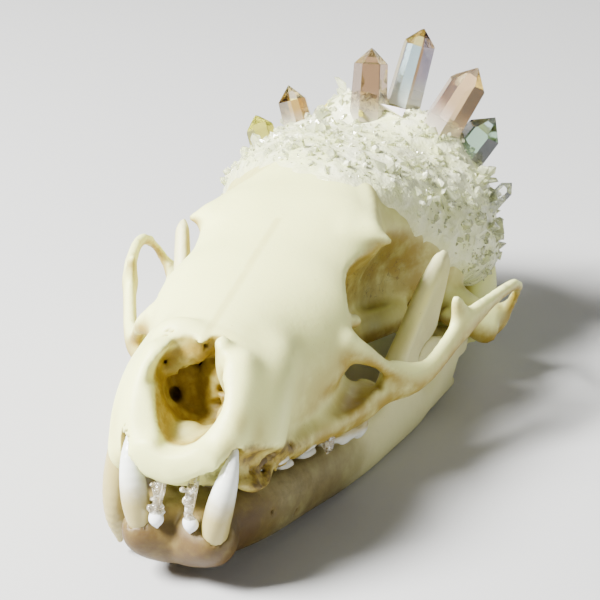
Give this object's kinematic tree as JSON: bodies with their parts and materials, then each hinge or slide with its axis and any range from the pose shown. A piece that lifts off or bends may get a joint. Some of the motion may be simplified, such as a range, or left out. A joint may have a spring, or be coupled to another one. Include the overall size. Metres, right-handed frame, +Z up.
{
  "type": "pine marten skull",
  "caption": "Small carnivore skull with its lower jaw in place, its braincase covered by a crust of quartz chips and crowned with a row of standing crystals.",
  "frame": {"origin": "centre of the footprint of the bounding box, at the height of the surface it rests on", "axes": "+Z up, -Y towards the snout, +X towards the skull's own left"},
  "size_m": [0.0501, 0.0868, 0.0408],
  "materials": {
    "bone": "dry, faintly waxy cream bone with yellow tints",
    "jaw_bone": "dry brown-stained bone",
    "enamel": "glossy off-white tooth enamel",
    "quartz": "milky greenish-white crystal chips",
    "clear_quartz": "clear polished crystal faces, some smoky or amber"
  },
  "bodies": {
    "root": {"cranium": "bone", "mandible": "jaw_bone", "upper_canine_right": "enamel", "lower_canine_left": "enamel", "lower_canine_right": "enamel", "upper_premolar_front_left": "enamel", "upper_premolar_front_right": "enamel", "upper_premolar_back_left": "enamel", "upper_premolar_back_right": "enamel", "upper_carnassial_left": "enamel", "upper_carnassial_right": "enamel", "upper_molar_left": "enamel", "upper_molar_right": "enamel", "lower_premolar_front_left": "enamel", "lower_premolar_front_right": "enamel", "lower_premolar_middle_left": "enamel", "lower_premolar_middle_right": "enamel", "lower_premolar_back_left": "enamel", "lower_premolar_back_right": "enamel", "lower_carnassial_left": "enamel", "lower_carnassial_right": "enamel", "incisor_left": "clear_quartz", "incisor_right": "clear_quartz", "tooth_row_crystal": "clear_quartz", "quartz_crust": "quartz", "quartz_point_1": "clear_quartz", "quartz_point_2": "clear_quartz", "quartz_point_3": "clear_quartz", "quartz_point_4": "clear_quartz", "quartz_point_5": "clear_quartz", "quartz_point_6": "clear_quartz", "quartz_point_7": "clear_quartz"}
  },
  "joints": []
}
